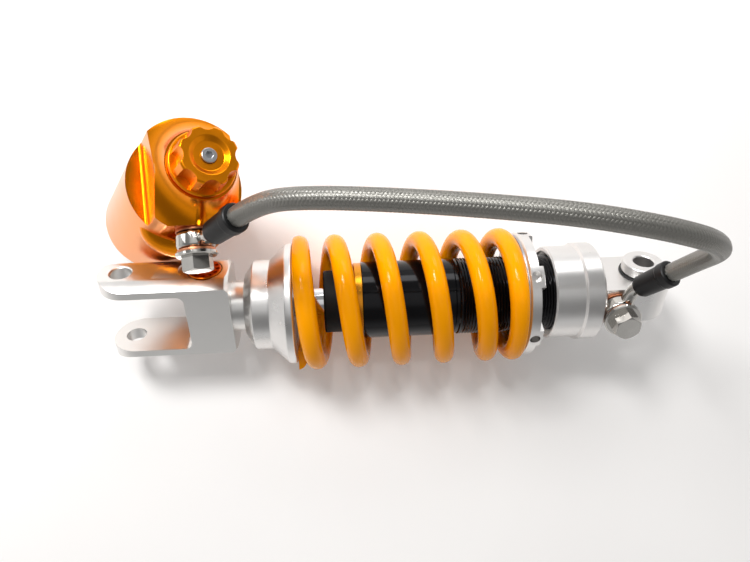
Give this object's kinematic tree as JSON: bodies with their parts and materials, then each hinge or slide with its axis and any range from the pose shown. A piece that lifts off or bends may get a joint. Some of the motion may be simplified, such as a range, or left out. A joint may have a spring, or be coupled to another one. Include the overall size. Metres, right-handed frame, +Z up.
{
  "type": "motorcycle coil-over shock absorber",
  "caption": "Coil-over damper with a fork at one end, a bearing eye at the other, a threaded preload ring, and a remote gas reservoir on a braided hose.",
  "frame": {"origin": "centre of the bearing in the top eye, on the bolt axis", "axes": "+X along the damper from the fork to the eye, +Z up off the floor that it lies on"},
  "size_m": [0.2948, 0.1192, 0.1592],
  "materials": {
    "brushed silver aluminium": "brushed, clear anodised",
    "orange anodised aluminium": "satin anodised",
    "gold anodised aluminium": "satin anodised",
    "black anodised aluminium": "satin anodised",
    "hard anodised aluminium": "matt",
    "yellow powder coat": "gloss powder coat",
    "hard chrome": "polished",
    "bright plated steel": "plated",
    "zinc plated steel": "plated",
    "hardened steel": "ground",
    "spring steel": "blued",
    "copper": "bare",
    "bronze": "bare",
    "black rubber": "matt",
    "black foam rubber": "matt",
    "dark sliding band": "matt",
    "clear coated steel braid": "braided",
    "black sleeve": "semi-gloss"
  },
  "bodies": {
    "damper_body": {"damper_tube": "black anodised aluminium", "top_cap": "brushed silver aluminium", "seal_head": "gold anodised aluminium", "seal_head_ring": "black rubber", "rod_wiper": "black rubber", "rod_seal": "black rubber", "guide_bush": "bronze", "bump_washer": "black anodised aluminium", "bump_stop": "black foam rubber", "bearing_race": "hardened steel", "eye_circlips": "spring steel", "eye_dust_seals": "black rubber", "cap_banjo_bolt": "bright plated steel", "cap_banjo_washers": "copper", "cap_banjo": "bright plated steel", "cap_hose_sleeve": "black sleeve", "braided_hose": "clear coated steel braid", "head_hose_sleeve": "black sleeve", "head_banjo": "bright plated steel", "head_banjo_washers": "copper", "head_banjo_bolt": "bright plated steel", "reservoir_head": "orange anodised aluminium", "reservoir_tube": "orange anodised aluminium", "reservoir_head_ring": "black rubber", "compression_valve": "hardened steel", "reservoir_end_cap": "black anodised aluminium", "end_cap_circlip": "spring steel", "gas_valve": "bronze", "gas_valve_cap": "black sleeve", "coil_spring": "yellow powder coat"},
    "rod_assembly": {"damper_rod": "hard chrome", "rebound_rod": "zinc plated steel", "shim_stacks": "spring steel", "main_piston": "hard anodised aluminium", "piston_band": "dark sliding band", "piston_nut": "zinc plated steel", "lower_clevis": "brushed silver aluminium", "spring_perch": "brushed silver aluminium"},
    "rebound_adjuster": {"rebound_wheel": "orange anodised aluminium", "rebound_shaft": "hardened steel"},
    "compression_adjuster": {"compression_knob": "orange anodised aluminium", "knob_screw": "zinc plated steel", "compression_needle": "hardened steel"},
    "eye_bearing": {"bearing_ball": "hardened steel", "eye_collars": "brushed silver aluminium"},
    "gas_piston": {"floating_piston": "hard anodised aluminium", "floating_ring": "black rubber"},
    "seat_washer": {"spring_seat": "zinc plated steel"},
    "preload_adjuster": {"preload_ring": "brushed silver aluminium", "ring_lock_screw": "zinc plated steel"}
  },
  "joints": [
    {"name": "damper_stroke", "type": "slide", "parent": "damper_body", "child": "rod_assembly", "axis": [1, 0, 0], "range_m": [0, 0.034], "stiffness_N_per_m": 4000, "deforming": ["coil_spring"]},
    {"name": "rebound_click", "type": "hinge", "parent": "rod_assembly", "child": "rebound_adjuster", "pos_m": [-0.2243, 0, 0], "axis": [0, 0.8192, 0.5736], "range_deg": [-300, 300]},
    {"name": "compression_click", "type": "hinge", "parent": "damper_body", "child": "compression_adjuster", "pos_m": [-0.226, 0.0566, 0.03898], "axis": [0.4318, 0.1403, 0.891], "range_deg": [-270, 270]},
    {"name": "eye_turn", "type": "hinge", "parent": "damper_body", "child": "eye_bearing", "pos_m": [0, 0, 0], "axis": [0, 0.8192, 0.5736], "continuous": true},
    {"name": "gas_piston_slide", "type": "slide", "parent": "damper_body", "child": "gas_piston", "axis": [-0.4318, -0.1403, -0.891], "range_m": [0, 0.0031]},
    {"name": "preload_slide", "type": "slide", "parent": "damper_body", "child": "seat_washer", "axis": [1, 0, 0], "range_m": [0, 0.0075]},
    {"name": "preload_turn", "type": "hinge", "parent": "seat_washer", "child": "preload_adjuster", "pos_m": [-0.063, 0, 0], "axis": [1, 0, 0], "range_deg": [0, 1800]}
  ],
  "couplings": [
    {"joint": "gas_piston_slide", "follows": "damper_stroke", "ratio": 0.0887},
    {"joint": "preload_turn", "follows": "preload_slide", "rad_per_m": 4188.8}
  ]
}
